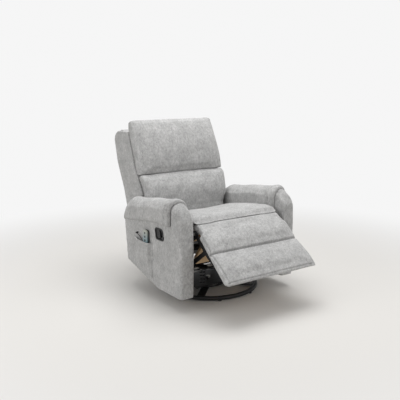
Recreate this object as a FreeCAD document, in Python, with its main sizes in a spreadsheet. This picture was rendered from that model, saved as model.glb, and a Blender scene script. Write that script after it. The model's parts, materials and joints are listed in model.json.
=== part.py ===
import FreeCAD, Part
import math
import os
import Sketcher

# Swivel rocker recliner, millimetres. +Z is up, -Y is the front, -X is the sitter's right-hand side.
# The origin is on the floor under the swivel axis, and the legrest is half open.

DIMENSIONS = {
    # arms
    "arm_inner": 310.0,
    "arm_outer": 400.0,
    "arm_front": -309.0,
    "arm_rear": 305.0,
    "arm_bottom": 73.0,
    "pad_front": -219.0,
    "pad_front_top": 608.0,
    "pad_fall": 0.1447,
    "pad_thickness": 29.0,
    # base
    "ring_radius": 285.5,
    "ring_tube": 12.5,
    "ring_height": 16.5,
    "cross_width": 42.0,
    "cross_thickness": 6.0,
    "cross_bottom": 14.0,
    "hub_radius": 92.0,
    "race_radius": 62.0,
    "ball_radius": 4.0,
    "rock_height": 118.0,
    "shaft_radius": 10.0,
    # plate layers, from the middle outwards
    "plate_thickness": 5.0,
    "inner_layer": 276.0,
    "middle_layer": 282.0,
    "outer_layer": 288.0,
    "pin_radius": 5.0,
    "running_gap": 0.06,
    # pivots in the side view
    "recline_y": 244.0,
    "recline_z": 460.0,
    "swing_y": -40.0,
    "swing_z": 315.0,
    "link_back": 18.0,
    "link_drop": 68.0,
    "legrest_y": -279.0,
    "legrest_z": 416.0,
    "legrest_slope": 38.7,
    "crank_y": -110.0,
    "crank_z": 290.0,
    "crank_length": 120.0,
    # soft widths and heights
    "seat_half": 291.0,
    "back_half": 295.0,
    "legrest_half": 297.0,
    "legrest_length": 368.0,
    "barrel_radius": 50.0,
    # pocket, handset and lever on the right-hand arm
    "pocket_depth": 23.0,
    "pocket_wall": 2.5,
    "pocket_mouth": 325.0,
    "handset_y": 26.0,
    "handset_width": 44.0,
    "handset_top": 394.0,
    "handset_bottom": 240.0,
    "handset_thickness": 16.0,
    "lever_y": -78.0,
    "cord_radius": 2.25,
}

V = FreeCAD.Vector
doc = FreeCAD.newDocument("SwivelRockerRecliner")
sheet = doc.addObject("Spreadsheet::Sheet", "Dimensions")
for row, (alias, value) in enumerate(DIMENSIONS.items(), start=1):
    sheet.set("A%d" % row, alias)
    sheet.set("B%d" % row, str(value))
    sheet.setAlias("B%d" % row, alias)
doc.recompute()

pieces = []


def size(alias):
    return float(sheet.get(alias))


def bind(thing, prop, alias, offset=0.0):
    thing.setExpression(prop, "Dimensions.%s + %s" % (alias, offset))


def keep(thing, label):
    thing.Label = label
    pieces.append(thing)
    return thing


def number(term):
    if isinstance(term, tuple):
        return size(term[0]) + term[1]
    return float(term)


def bind_term(thing, prop, term):
    if isinstance(term, tuple):
        bind(thing, prop, term[0], term[1])


def side_sketch(body, corners):
    # A closed outline in the side view. A corner's ordinate is a number or a sheet alias with an offset.
    plane = [f for f in body.Origin.OriginFeatures if f.Role == "YZ_Plane"][0]
    sketch = body.newObject("Sketcher::SketchObject", "Outline")
    sketch.AttachmentSupport = [(plane, "")]
    sketch.MapMode = "FlatFace"
    points = [V(number(y), number(z), 0) for y, z in corners]
    count = len(points)
    for i in range(count):
        sketch.addGeometry(Part.LineSegment(points[i], points[(i + 1) % count]))
    for i in range(count):
        sketch.addConstraint(Sketcher.Constraint("Coincident", i, 2, (i + 1) % count, 1))
    for i, corner in enumerate(corners):
        for kind, term in zip(("DistanceX", "DistanceY"), corner):
            index = sketch.addConstraint(Sketcher.Constraint(kind, -1, 1, i, 1, number(term)))
            bind_term(sketch, "Constraints[%d]" % index, term)
    return sketch


def round_holes(body, holes):
    # Cross holes (y, z, radius) right through a plate.
    plane = [f for f in body.Origin.OriginFeatures if f.Role == "YZ_Plane"][0]
    sketch = body.newObject("Sketcher::SketchObject", "Holes")
    sketch.AttachmentSupport = [(plane, "")]
    sketch.MapMode = "FlatFace"
    for i, (y, z, radius) in enumerate(holes):
        sketch.addGeometry(Part.Circle(V(number(y), number(z), 0), V(0, 0, 1), number(radius)))
        for kind, term in (("DistanceX", y), ("DistanceY", z)):
            index = sketch.addConstraint(Sketcher.Constraint(kind, -1, 1, i, 3, number(term)))
            bind_term(sketch, "Constraints[%d]" % index, term)
        index = sketch.addConstraint(Sketcher.Constraint("Radius", i, number(radius)))
        bind_term(sketch, "Constraints[%d]" % index, radius)
    pocket = body.newObject("PartDesign::Pocket", "HolePocket")
    pocket.Profile = sketch
    pocket.Type = "ThroughAll"
    pocket.Midplane = True
    return pocket


def plate(name, corners, start, width, rounds=0.0, skip=(), holes=()):
    # A side-view outline padded across X from start, with its corners rounded.
    body = doc.addObject("PartDesign::Body", name)
    sketch = side_sketch(body, corners)
    sketch.AttachmentOffset = FreeCAD.Placement(V(0, 0, number(start)), FreeCAD.Rotation())
    bind_term(sketch, "AttachmentOffset.Base.z", start)
    pad = body.newObject("PartDesign::Pad", "Pad")
    pad.Profile = sketch
    pad.Length = number(width)
    bind_term(pad, "Length", width)
    doc.recompute()
    if rounds:
        wanted = [(number(y), number(z)) for i, (y, z) in enumerate(corners) if i not in skip]
        names = []
        for i, edge in enumerate(pad.Shape.Edges, start=1):
            ends = [v.Point for v in edge.Vertexes]
            if len(ends) != 2 or abs(ends[0].x - ends[1].x) < 0.5 * number(width):
                continue
            if any(math.hypot(ends[0].y - y, ends[0].z - z) < 0.01 for y, z in wanted):
                names.append("Edge%d" % i)
        fillet = body.newObject("PartDesign::Fillet", "Fillet")
        fillet.Base = (pad, names)
        fillet.Radius = rounds
        doc.recompute()
    if holes:
        before = body.Shape.Volume
        round_holes(body, holes)
        doc.recompute()
        assert body.Shape.Volume < before, name + " holes cut nothing"
    return body


def primitive(kind, name, where=(0, 0, 0), turn=None, **sizes):
    thing = doc.addObject(kind, name)
    rotation = FreeCAD.Rotation(*turn) if turn else FreeCAD.Rotation()
    thing.Placement = FreeCAD.Placement(V(*[number(w) for w in where]), rotation)
    for axis, term in zip("xyz", where):
        bind_term(thing, "Placement.Base." + axis, term)
    for prop, term in sizes.items():
        setattr(thing, prop, term if isinstance(term, int) else number(term))
        bind_term(thing, prop, term)
    return thing


def cylinder(name, where, radius, height, axis="z"):
    turn = {"z": None, "x": (V(0, 1, 0), 90), "y": (V(1, 0, 0), -90)}[axis]
    return primitive("Part::Cylinder", name, where, turn, Radius=radius, Height=height)


def box(name, where, length, width, height):
    return primitive("Part::Box", name, where, None, Length=length, Width=width, Height=height)


def fuse(name, things):
    joined = doc.addObject("Part::MultiFuse", name)
    joined.Shapes = things
    joined.Refine = True
    return joined


def cut(name, base, tool):
    result = doc.addObject("Part::Cut", name)
    result.Base = base
    result.Tool = tool
    return result


def group(name, things):
    # Separate solids of one node, such as a set of fasteners.
    joined = doc.addObject("Part::Compound", name)
    joined.Links = things
    return joined


def mirrored(name, source):
    copy = doc.addObject("Part::Mirroring", name)
    copy.Source = source
    copy.Base = V(0, 0, 0)
    copy.Normal = V(1, 0, 0)
    return copy


def pair(name, source):
    return group(name, [source, mirrored(name + "_mirror", source)])


def solid_feature(name, shape):
    thing = doc.addObject("Part::Feature", name)
    thing.Shape = shape
    return thing


def outline(steps, place):
    # A closed wire of lines and arcs. A step is a point, or a pair (point on the arc, end of the arc).
    edges = []
    last = place(*steps[0])
    first = last
    for step in steps[1:]:
        if isinstance(step[0], tuple):
            end = place(*step[1])
            edges.append(Part.Arc(last, place(*step[0]), end).toShape())
        else:
            end = place(*step)
            edges.append(Part.LineSegment(last, end).toShape())
        last = end
    if last.distanceToPoint(first) > 1e-6:
        edges.append(Part.LineSegment(last, first).toShape())
    return Part.Wire(edges)


def crowned(name, profile, half, edge_drop, crown=2.0):
    # A stuffed pad: one side-view profile lofted across X, drawn in towards both ends.
    stations = [(half, edge_drop), (half - 6, 0.55 * edge_drop), (half - 18, 0.25 * edge_drop)]
    stations += [(half - 42, 0.08 * edge_drop), (0.6 * half, -0.4 * crown), (0.0, -crown)]
    rows = [(-x, drop) for x, drop in stations] + [(x, drop) for x, drop in reversed(stations[:-1])]
    wires = [outline(profile(drop), lambda y, z, x=x: V(x, y, z)) for x, drop in rows]
    return solid_feature(name, Part.makeLoft(wires, True, True))


def tombstone(y, inner, outer, bottom, top):
    # Straight sides under a half-round top, across the arm.
    radius = 0.5 * (outer - inner)
    middle = 0.5 * (outer + inner)
    lift = radius * math.sqrt(0.5)
    spring = top - radius
    steps = [(inner, bottom), (outer, bottom), (outer, spring)]
    steps.append(((middle + lift, spring + lift), (middle, top)))
    steps.append(((middle - lift, spring + lift), (inner, spring)))
    return outline(steps, lambda x, z: V(x, y, z))


def pad_top(y):
    return size("pad_front_top") - size("pad_fall") * (y - size("pad_front"))


def near(alias, offset=0.0):
    return (alias, offset)


# Pivots that follow from the driving dimensions
recline = (size("recline_y"), size("recline_z"))
swing = (size("swing_y"), size("swing_z"))
link = (size("link_back"), -size("link_drop"))
seat_rear = (recline[0] + link[0], recline[1] + link[1])
seat_front = (swing[0] + link[0], swing[1] + link[1])
hinge = (size("legrest_y"), size("legrest_z"))
crank = (size("crank_y"), size("crank_z"))
slope = math.radians(size("legrest_slope"))
along = (-math.cos(slope), -math.sin(slope))
crank_end = tuple(c + size("crank_length") * a for c, a in zip(crank, along))
bracket_pin = tuple(h + size("crank_length") * a for h, a in zip(hinge, along))
pin = size("pin_radius")
bore = pin + size("running_gap")


def make_base():
    ring_where = (0, 0, near("ring_height"))
    ring = primitive("Part::Torus", "Ring", ring_where, None,
                     Radius1=near("ring_radius"), Radius2=near("ring_tube"))
    keep(ring, "base_ring")
    bars = []
    reach = size("ring_radius")
    half_width = 0.5 * size("cross_width")
    for angle in (45, 135):
        turn = FreeCAD.Rotation(V(0, 0, 1), angle)
        bar = primitive("Part::Box", "Bar", (0, 0, near("cross_bottom")), None,
                        Length=2 * reach, Width=near("cross_width"), Height=near("cross_thickness"))
        offset = turn.multVec(V(-reach, -half_width, 0))
        bar.Placement = FreeCAD.Placement(V(offset.x, offset.y, size("cross_bottom")), turn)
        bars.append(bar)
    hub_where = (0, 0, near("cross_bottom"))
    bars.append(cylinder("HubDisc", hub_where, near("hub_radius"), near("cross_thickness")))
    hole = cylinder("HubHole", hub_where, 8.0, near("cross_thickness"))
    cross = cut("CrossHoled", fuse("CrossBars", bars), hole)
    keep(cut("Cross", cross, ring), "base_cross")
    glides = []
    for i in range(8):
        angle = math.radians(22.5 + 45 * i)
        where = (reach * math.cos(angle), reach * math.sin(angle), 0)
        glides.append(cut("Glide", cylinder("GlideDisc", where, 11.0, 9.0), ring))
    keep(group("Glides", glides), "base_glides")
    top = size("cross_bottom") + size("cross_thickness")
    ball = size("ball_radius")
    race = size("race_radius")
    groove_height = top + 8.0 + ball - 2.0

    def race_ring(name, z, groove_z):
        disc = cylinder(name + "Disc", (0, 0, z), race + 16, 8.0)
        hole_in = cylinder(name + "Hole", (0, 0, z), race - 16, 8.0)
        groove = primitive("Part::Torus", name + "Groove", (0, 0, groove_z), None,
                           Radius1=near("race_radius"), Radius2=near("ball_radius", 0.05))
        return cut(name, cut(name + "Ring", disc, hole_in), groove)

    keep(race_ring("LowerRace", top, groove_height), "lower_race")
    upper_bottom = groove_height + ball - 2.0
    upper = race_ring("UpperRace", upper_bottom, groove_height)
    keep(upper, "upper_race")
    balls = []
    holes = []
    count = 14
    for i in range(count):
        angle = 2 * math.pi * i / count
        where = (race * math.cos(angle), race * math.sin(angle), groove_height)
        balls.append(primitive("Part::Sphere", "Ball", where, None, Radius=near("ball_radius")))
        holes.append(cylinder("BallHole", (where[0], where[1], groove_height - 2), ball + 0.15, 4.0))
    cage_z = groove_height - 1.0
    cage = cut("CageRing", cylinder("CageDisc", (0, 0, cage_z), race + 9, 2.0),
               cylinder("CageHole", (0, 0, cage_z), race - 9, 2.0))
    keep(cut("Cage", cage, group("BallHoles", holes)), "ball_cage")
    keep(group("Balls", balls), "bearing_balls")
    plate_bottom = upper_bottom + 8.0
    stem = cylinder("PinStem", (0, 0, size("cross_bottom") - 4), 8.0, plate_bottom + 18 - size("cross_bottom"))
    head = cylinder("PinHead", (0, 0, size("cross_bottom") - 8), 15.0, 8.0)
    nut_place = (0, 0, plate_bottom + 6.5)
    nut = primitive("Part::Prism", "PinNut", nut_place, None, Polygon=6, Circumradius=14, Height=8)
    keep(fuse("KingPin", [stem, head, nut]), "king_pin")
    return plate_bottom


def make_swivel(plate_bottom):
    sheet_top = plate_bottom + 6.0
    base = box("SwivelSheet", (-165, -120, plate_bottom), 330, 240, 6)
    hole = cylinder("SwivelHole", (0, 0, plate_bottom), 8.06, 6)
    keep(cut("SwivelPlate", base, hole), "swivel_plate")
    axis_z = size("rock_height")
    uprights = []
    for sign in (-1, 1):
        x = 150 if sign > 0 else -158
        corners = [(-52, sheet_top), (52, sheet_top), (18, axis_z + 16), (-18, axis_z + 16)]
        holes = [(0, near("rock_height"), near("shaft_radius"))]
        uprights.append(plate("Pedestal", corners, x, 8, 9.0, skip=(0, 1), holes=holes))
    keep(group("Pedestals", uprights), "rocker_pedestals")
    shaft = cylinder("Shaft", (-172, 0, near("rock_height")), near("shaft_radius"), 344, axis="x")
    keep(shaft, "rocker_shaft")
    return sheet_top


def coil(centre, radius, wire, bottom, top, turns):
    # One unbroken wire: quarter-turn arcs that climb at a steady rate.
    steps = int(4 * turns)
    rise = (top - bottom) / steps

    def at(k):
        angle = 0.5 * math.pi * k
        return V(centre[0] + radius * math.cos(angle), centre[1] + radius * math.sin(angle), bottom + rise * k)

    edges = [Part.Arc(at(k), at(k + 0.5), at(k + 1)).toShape() for k in range(steps)]
    start = at(0)
    circle = Part.Wire(Part.Circle(start, V(0, 1, 2 * rise / (math.pi * radius)), wire).toShape())
    shape = Part.Wire(edges).makePipeShell([circle], True, False)
    points = [at(0.25 * i) for i in range(4 * steps + 1)]
    gap = min(points[i].distanceToPoint(points[j]) for i in range(len(points))
              for j in range(i + 8, len(points))) - 2 * wire
    print("coil gap to itself %.2f mm" % gap)
    return shape


def make_chassis(sheet_top):
    axis_z = size("rock_height")
    frame_bottom = 156.0
    springs = []
    for x in (-105, 105):
        for y in (-88, 88):
            springs.append(solid_feature("Spring", coil((x, y), 17, 2.4, sheet_top + 3, frame_bottom - 3, 5)))
    keep(group("Springs", springs), "rocker_springs")
    members = []
    bushes = []
    for sign in (-1, 1):
        x = 122 if sign > 0 else -130
        corners = [(-14, axis_z - 16), (14, axis_z - 16), (46, frame_bottom), (-46, frame_bottom)]
        holes = [(0, near("rock_height"), near("shaft_radius", 3.0))]
        members.append(plate("Hanger", corners, x, 8, 8.0, skip=(2, 3), holes=holes))
        rail_x = 105 if sign > 0 else -145
        members.append(box("Rail", (rail_x - 20 if sign > 0 else rail_x, -150, frame_bottom), 60, 370, 5))
        outer = cylinder("BushBody", (x, 0, near("rock_height")), near("shaft_radius", 3.0), 8, axis="x")
        inner = cylinder("BushBore", (x, 0, near("rock_height")), near("shaft_radius", 0.06), 8, axis="x")
        bushes.append(cut("Bush", outer, inner))
    for y in (-68, 190):
        members.append(box("CrossTube", (-276, y, frame_bottom + 5), 552, 25, 25))
    keep(fuse("ChassisFrame", members), "chassis_frame")
    keep(group("Bushes", bushes), "rocker_bushes")
    swing_top = (near("swing_y"), near("swing_z"))
    corners = [(-76, 156), (222, 156), (266, 400), (near("recline_y", 22), near("recline_z", 20)),
               (near("recline_y", -20), near("recline_z", 20)), (218, 260), (-16, 260),
               (near("swing_y", 20), near("swing_z", 20)), (near("swing_y", -20), near("swing_z", 20)),
               (-76, 240)]
    holes = [(near("recline_y"), near("recline_z"), near("pin_radius")), swing_top + (near("pin_radius"),)]
    side = plate("ChassisSide", corners, near("inner_layer"), near("plate_thickness"), 10.0, holes=holes)
    keep(pair("ChassisPlates", side), "chassis_plates")
    pins = []
    for y, z in ((near("recline_y"), near("recline_z")), swing_top):
        body = cylinder("PivotBody", (near("inner_layer"), y, z), near("pin_radius"), 11.4, axis="x")
        inner_head = cylinder("PivotHead", (near("inner_layer", -3.0), y, z), 8.5, 3, axis="x")
        pins.append(fuse("Pivot", [body, inner_head]))
    keep(pair("ChassisPins", group("ChassisPinSide", pins)), "chassis_pins")
    spacers = []
    for y in (-56, 60, 176):
        spacers.append(cylinder("Spacer", (near("inner_layer", 5.0), y, 195), 11, 29, axis="x"))
    keep(pair("ArmSpacers", group("ArmSpacerSide", spacers)), "arm_spacers")
    corners = [(254, 112), (272, 112), (286, 236), (268, 236)]
    valance = plate("Valance", corners, -306, 612, 6.0)
    inlet_where = (150, 266, 206)
    keep(cut("ValanceHoled", valance, cylinder("InletSeat", inlet_where, 9, 24, axis="y")), "rear_valance")
    socket = cylinder("InletBody", inlet_where, 9, 24, axis="y")
    keep(cut("Inlet", socket, cylinder("InletBore", (150, 280, 206), 4, 10, axis="y")), "power_inlet")


def arm_core():
    # The rounded arm without its saddle pad: half-round top, bull nose in front, soft corner at the rear.
    rows = [(0, 9, 40), (4, 4.5, 22), (14, 1.5, 8), (40, 0, 1), (100, 0, 0), (300, 0, 0), (500, 0, 0)]
    rows += [(572, 0, 0), (600, 1, 14), (614, 4, 40)]
    wires = []
    for back, narrow, drop in rows:
        y = size("arm_front") + back
        top = pad_top(y) - size("pad_thickness") - drop
        inner = size("arm_inner") + narrow
        wires.append(tombstone(y, inner, size("arm_outer") - narrow, size("arm_bottom"), top))
    return Part.makeLoft(wires, True, False)


def make_arms():
    core = solid_feature("ArmCore", arm_core())
    rear_cut = [(-72, near("arm_bottom", -0.1)), (276, 163), (near("arm_rear"), 443), (330, 443), (330, 40),
                (-72, 40)]
    wedge = plate("ArmUndercut", rear_cut, 300, 120)
    frame_side = [(-282, 92), (-78, 92), (262, 181), (286, 420), (258, 478), (-250, 545), (-282, 520)]
    solid_frame = plate("ArmFrameSolid", frame_side, 333, 44)
    windows = [[(-240, 130), (-100, 130), (-100, 470), (-240, 490)],
               [(-50, 150), (220, 222), (240, 410), (-50, 455)]]
    openings = [plate("ArmWindow", window, 330, 50, 12.0) for window in windows]
    frame = cut("ArmFrame", solid_frame, fuse("ArmWindows", openings))
    keep(pair("ArmFrames", frame), "arm_frames")
    cover = cut("ArmCover", cut("ArmCoverCut", core, wedge), solid_frame)
    keep(cover, "arm_cover_left")
    # distance back, how far proud inside and outside, drop of the top, height of the lower seam
    rows = [(0, 9, 16, 6, 458), (8, 12, 20, 1, 457), (38, 12, 20, 0, 457), (220, 11, 17, 0, 448)]
    rows += [(370, 10, 11, 0, 424), (470, 9, 6, 0, 408), (502, 7, 4, 15, 402), (522, 4, 2, 44, 400)]
    wires = []
    for back, proud_in, proud_out, drop, seam in rows:
        y = size("pad_front") + back
        inner = size("arm_inner") - proud_in
        outer = size("arm_outer") + proud_out
        wires.append(tombstone(y, inner, outer, seam, pad_top(y) - drop))
    loft = solid_feature("ArmPadLoft", Part.makeLoft(wires, True, False))
    saddle = cut("ArmPad", loft, core)
    keep(saddle, "arm_pad_left")
    keep(mirrored("ArmPadMirror", saddle), "arm_pad_right")
    return mirrored("ArmCoverMirror", cover)


def lever_outline(grow):
    # A rounded parallelogram that leans forward at the bottom.
    upper = [(-56 + grow, 422 + grow), (-130 - grow, 422 + grow)]
    return upper + [(-144 - grow, 364 - grow), (-70 + grow, 364 - grow)]


def make_lever(right_cover):
    outer = size("arm_outer")
    cavity = plate("LeverCavity", lever_outline(0), -outer - 5, 25.0, 14.0)
    keep(cut("ArmCoverRight", right_cover, cavity), "arm_cover_right")
    flange = plate("LeverFlange", lever_outline(4), -outer - 3, 3.0, 16.0)
    cup = plate("LeverCup", lever_outline(0), -outer - 3, 23.0, 14.0)
    hollow = plate("LeverHollow", lever_outline(-3), -outer - 4, 21.0, 12.0)
    bezel = cut("LeverBezelOpen", fuse("LeverBezelBlank", [flange, cup]), hollow)
    pin_x = -outer + 7.0
    stem_where = (pin_x, near("lever_y"), 366)
    stem_height = 54
    pin_hole = cylinder("LeverPinHole", stem_where, 2.0, stem_height)
    keep(cut("LeverBezel", bezel, pin_hole), "lever_bezel")
    keep(cylinder("LeverPin", stem_where, 2.0, stem_height), "lever_pin")
    paddle = [(-63, 416), (-100, 416), (-110, 371), (-75, 371)]
    blade = plate("LeverBlade", paddle, pin_x - 6.0, 6.0, 6.0)
    barrel = cylinder("LeverBarrel", (pin_x, near("lever_y"), 372), 3.6, 44)
    shaped = cut("LeverShaped", fuse("LeverBlank", [blade, barrel]),
                 cylinder("LeverBore", stem_where, 2.06, stem_height))
    keep(shaped, "release_lever")


def plan_block(name, corners, bottom, top):
    # A plan outline raised straight up.
    points = [V(x, y, bottom) for x, y in corners]
    return solid_feature(name, Part.Face(Part.makePolygon(points + points[:1])).extrude(V(0, 0, top - bottom)))


def make_pocket():
    # A patch pocket sewn flat at both ends, bellied round the handset, with the arm as its back wall.
    outer = size("arm_outer")
    mouth = size("pocket_mouth")
    belly = -outer - size("pocket_depth")
    wall = size("pocket_wall")
    seam = -outer - 0.4
    skin = [(seam, -22), (seam - 6, -21), (belly, -4), (belly, 100), (seam - 5, 176), (seam, 180)]
    inside = [(seam + 4, -17), (seam - 4.5, -17), (belly + wall, -2.5), (belly + wall, 99), (seam - 3, 174),
              (seam + 4, 174)]
    low = 100.0

    def floor(name, lift):
        slope = [(-60, low - 10), (240, low - 10), (240, 161 + lift), (-60, 116.4 + lift)]
        return plate(name, slope, belly - 10, size("pocket_depth") + 30)

    block = cut("PocketBlock", plan_block("PocketSkin", skin, low, mouth), floor("PocketUnder", 0.0))
    room = cut("PocketRoom", plan_block("PocketInside", inside, low, mouth + 2), floor("PocketFloor", wall))
    keep(cut("Pocket", block, room), "side_pocket")
    keep(cylinder("Gland", (-outer - 14, 137, 355), 5.0, 14, axis="x"), "cord_gland")


def make_handset():
    middle = -size("arm_outer") - 11.0
    half = 0.5 * size("handset_thickness")
    y0 = size("handset_y") - 0.5 * size("handset_width")
    y1 = size("handset_y") + 0.5 * size("handset_width")
    top, bottom = size("handset_top"), size("handset_bottom")
    shape = [(y0, bottom), (y1, bottom), (y1, top), (y0, top)]
    inner = [(y0 + 2, bottom + 2), (y1 - 2, bottom + 2), (y1 - 2, top - 2), (y0 + 2, top - 2)]
    front = cut("HandsetFrontShell", plate("HandsetFrontBlock", shape, middle - half, half, 15.0),
                plate("HandsetFrontRoom", inner, middle - half + 2, half, 13.0))
    back = cut("HandsetBackShell", plate("HandsetBackBlock", shape, middle, half, 15.0),
               plate("HandsetBackRoom", inner, middle - 1, half - 1, 13.0))
    keep(back, "handset_back")
    heights = {"power": top - 18, "heat": top - 39, "massage": top - 60}
    face = middle - half
    holes = []
    for word, z in heights.items():
        holes.append(cylinder("KeyHole", (face - 1, near("handset_y"), z), 6.3, 4, axis="x"))
        stem = cylinder("KeyStem", (face - 1.2, near("handset_y"), z), 6.0, 3.4, axis="x")
        keep(stem, "button_" + word)
    keep(cut("HandsetFront", front, fuse("KeyHoles", holes)), "handset_front")
    relief = primitive("Part::Cone", "StrainRelief", (middle, near("handset_y"), bottom - 14), None,
                       Radius1=3.0, Radius2=4.6, Height=14)
    keep(relief, "cord_relief")


def make_cord():
    # Straight runs joined by arcs, in the plane of the pocket, from the gland down and back up to the handset.
    x = -size("arm_outer") - 11.0
    end_z = size("handset_bottom") - 14
    route = [(132, 353), (107, 346), (80, 333), (63, 313), (57, 288), (60, 260), (62, 232), (61, 206)]
    route += [(54, 185), (40, 173), (26, 179), (22, 194), (size("handset_y"), 210), (size("handset_y"), end_z)]
    points = [V(x, y, z) for y, z in route]
    edges = []
    start = points[0]
    for before, corner, after in zip(points, points[1:], points[2:]):
        back = (before - corner)
        forth = (after - corner)
        turn = math.pi - back.getAngle(forth)
        trim = 0.45 * min(back.Length, forth.Length)
        radius = trim / math.tan(0.5 * turn)
        entry = corner + back.normalize() * trim
        leave = corner + forth.normalize() * trim
        inward = (back + forth).normalize()
        middle = corner + inward * (radius / math.cos(0.5 * turn) - radius)
        edges.append(Part.LineSegment(start, entry).toShape())
        edges.append(Part.Arc(entry, middle, leave).toShape())
        print("cord radius %.1f mm, turn %.0f degrees" % (radius, math.degrees(turn)))
        start = leave
    edges.append(Part.LineSegment(start, points[-1]).toShape())
    path = Part.Wire(edges)
    radius = size("cord_radius")
    circle = Part.Wire(Part.Circle(points[0], points[1] - points[0], radius).toShape())
    tube = path.makePipeShell([circle], True, False)
    ratio = tube.Volume / (math.pi * radius ** 2 * path.Length)
    print("cord length %.1f mm, volume over section times length %.4f" % (path.Length, ratio))
    keep(solid_feature("Cord", tube), "handset_cord")


def make_seat():
    ear = 17.0
    corners = [(seat_rear[0] - 14, seat_rear[1] + ear), (seat_rear[0] + ear, seat_rear[1] + ear),
               (seat_rear[0] + ear, 366), (205, 284), (seat_front[0] + 18, seat_front[1] - ear),
               (seat_front[0] - 18, seat_front[1] - ear), (crank[0] - 4, crank[1] - 20),
               (hinge[0] - 12, hinge[1] - 24), (hinge[0] - 18, hinge[1] + 14),
               (hinge[0] + 14, hinge[1] + 17), (-214, 389), (192, 327)]
    holes = [(y, z, near("pin_radius")) for y, z in (seat_rear, seat_front, hinge)]
    holes.append((near("crank_y"), near("crank_z"), 8.06))
    side = plate("SeatSide", corners, near("outer_layer"), near("plate_thickness"), 8.0, holes=holes)
    keep(pair("SeatBrackets", side), "seat_brackets")
    pins = []
    for y, z in (seat_rear, seat_front, hinge):
        body = cylinder("SeatPinBody", (near("middle_layer", -0.4), y, z), near("pin_radius"), 11.4, axis="x")
        head = cylinder("SeatPinHead", (near("outer_layer", 5.0), y, z), 8.5, 3, axis="x")
        pins.append(fuse("SeatPin", [body, head]))
    keep(pair("SeatPins", group("SeatPinSide", pins)), "seat_pins")
    fall = -math.tan(math.radians(9.0))

    def under(y):
        return 396.5 + fall * (y + 222)

    rails = []
    long_side = [(-214, under(-214) - 40), (188, under(188) - 40), (188, under(188)), (-214, under(-214))]
    for x in (-266, 246):
        rails.append(plate("SeatRail", long_side, x, 20))
    for y in (-214, 168):
        bar = [(y, under(y) - 40), (y + 20, under(y + 20) - 40), (y + 20, under(y + 20)), (y, under(y))]
        rails.append(plate("SeatBar", bar, -250, 500))
    for x in (-288, 262):
        for y in (-190, 110):
            block = [(y, under(y) - 30), (y + 30, under(y + 30) - 30), (y + 30, under(y + 30) - 6),
                     (y, under(y) - 6)]
            rails.append(plate("SeatBlock", block, x, 26))
    # A plywood apron under the front rail, with its upper corners notched for the mechanism.
    apron = [(-250, 232), (250, 232), (250, 270), (213, 318), (213, 384), (-213, 384), (-213, 318), (-250, 270)]
    board = Part.Face(outline(apron, lambda x, z: V(x, -234, z))).extrude(V(0, 20, 0))
    rails.append(solid_feature("SeatApron", board))
    keep(fuse("SeatFrame", rails), "seat_frame")
    springs = []
    bends = 14
    first, last = -190.0, 164.0
    pitch = (last - first) / bends
    for x in (-180, -90, 0, 90, 180):
        springs.append(solid_feature("SeatSpring", zigzag(x, first, pitch, bends, under)))
    keep(group("SeatSprings", springs), "seat_springs")
    keep(crowned("SeatCushion", seat_profile, size("seat_half"), 13.0), "seat_cushion")


def zigzag(x, first, pitch, bends, under):
    # A sinuous spring: straight cross runs joined by half-round bends, lying along the sloping frame.
    wire = 1.9
    half = 22.0
    radius = 0.5 * pitch
    depth = -14.0

    def at(across, y):
        return V(x + across, y, under(y) + depth)

    edges = []
    side = 1
    edges.append(Part.LineSegment(at(0, first), at(half, first)).toShape())
    for i in range(bends):
        y = first + pitch * i
        reach = half * side
        for a, b in ((0.0, 0.5), (0.5, 1.0)):
            points = []
            for part in (a, 0.5 * (a + b), b):
                out = reach + side * radius * math.sin(math.pi * part)
                points.append(at(out, y + radius * (1 - math.cos(math.pi * part))))
            edges.append(Part.Arc(*points).toShape())
        end = 0.0 if i == bends - 1 else -reach
        edges.append(Part.LineSegment(at(reach, y + pitch), at(end, y + pitch)).toShape())
        side = -side
    path = Part.Wire(edges)
    circle = Part.Wire(Part.Circle(at(0, first), V(1, 0, 0), wire).toShape())
    return path.makePipeShell([circle], True, False)


def seat_profile(drop):
    lip = hinge[1] + 52.5
    relief = size("barrel_radius") + 4
    foot = math.acos(52.5 / relief)
    corner = (hinge[0] + relief * math.sin(foot), lip)
    diagonal = (hinge[0] + relief * math.cos(math.radians(40)), hinge[1] + relief * math.sin(math.radians(40)))
    return [(193, 332), (193, 416 - drop), ((189, 427 - drop), (178, 431 - drop)),
            ((-10, 467 - drop), (-198, 490 - drop)), ((-252, 488 - drop), (-290, 476 - 0.4 * drop)),
            (-294, lip), corner,
            (diagonal, (hinge[0] + relief, hinge[1])), (-222, 397)]


def make_links():
    names = {1: "left", -1: "right"}
    ends = ((swing[0], swing[1]), (seat_front[0], seat_front[1]))
    for sign, word in names.items():
        start = size("middle_layer") if sign > 0 else -size("middle_layer") - size("plate_thickness")
        keep(straight_link("FrontLink", ends, 14.0, start, bore), "front_link_" + word)
    ends = (crank_end, bracket_pin)
    for sign, word in names.items():
        start = size("inner_layer") if sign > 0 else -size("inner_layer") - size("plate_thickness")
        keep(straight_link("PushLink", ends, 12.0, start, bore), "push_link_" + word)


def straight_link(name, ends, half_width, start, hole):
    # A flat bar with round ends between two pivots.
    (y0, z0), (y1, z1) = ends
    length = math.hypot(y1 - y0, z1 - z0)
    angle = math.degrees(math.atan2(z1 - z0, y1 - y0))
    turn = (V(1, 0, 0), angle)
    bar = box(name + "Bar", (start, y0, z0), near("plate_thickness"), length, 2 * half_width)
    rotation = FreeCAD.Rotation(*turn)
    offset = rotation.multVec(V(0, 0, -half_width))
    bar.Placement = FreeCAD.Placement(V(start, y0 + offset.y, z0 + offset.z), rotation)
    things = [bar]
    holes = []
    for y, z in ends:
        things.append(cylinder(name + "Eye", (start, y, z), half_width, near("plate_thickness"), axis="x"))
        holes.append(cylinder(name + "Hole", (start - 1, y, z), hole, near("plate_thickness", 2.0), axis="x"))
    return cut(name, fuse(name + "Blank", things), fuse(name + "Holes", holes))


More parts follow.
